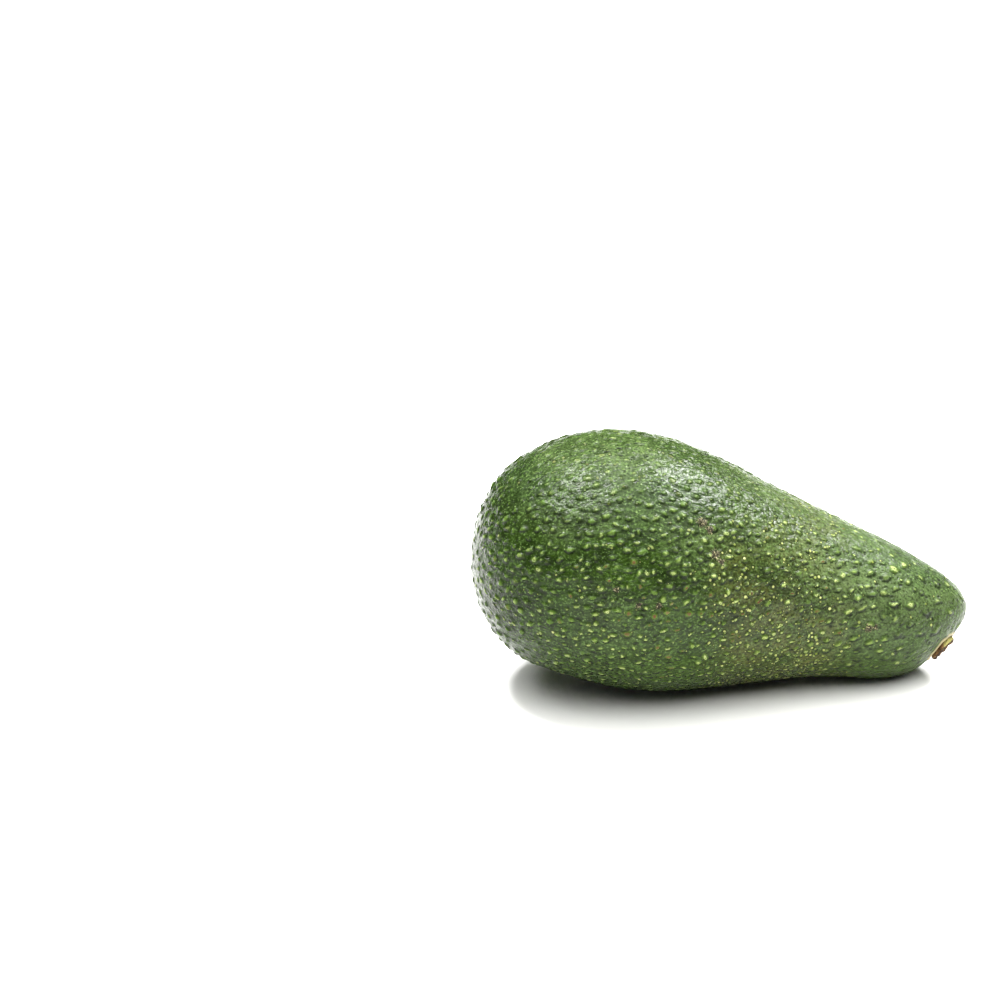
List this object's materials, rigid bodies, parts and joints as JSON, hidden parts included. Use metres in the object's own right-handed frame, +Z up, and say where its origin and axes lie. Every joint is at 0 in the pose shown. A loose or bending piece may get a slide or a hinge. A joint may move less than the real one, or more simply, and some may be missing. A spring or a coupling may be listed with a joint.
{
  "type": "avocado",
  "caption": "Whole pear-shaped green avocado with a pebbled peel and a cut stem button, lying on its side on small flats.",
  "frame": {"origin": "centre of the bounding box on the surface that the fruit rests on", "axes": "+X along the fruit from the blossom end to the stem end, +Z up"},
  "size_m": [0.1256, 0.0666, 0.0664],
  "materials": {
    "peel": "dark green leathery peel, pebbled, softly waxy, with pale yellow-green pores",
    "stem": "dry, rough, broken brown stalk wood with a pale corky rim"
  },
  "bodies": {
    "root": {"fruit": "peel", "stem_button": "stem"}
  },
  "joints": []
}
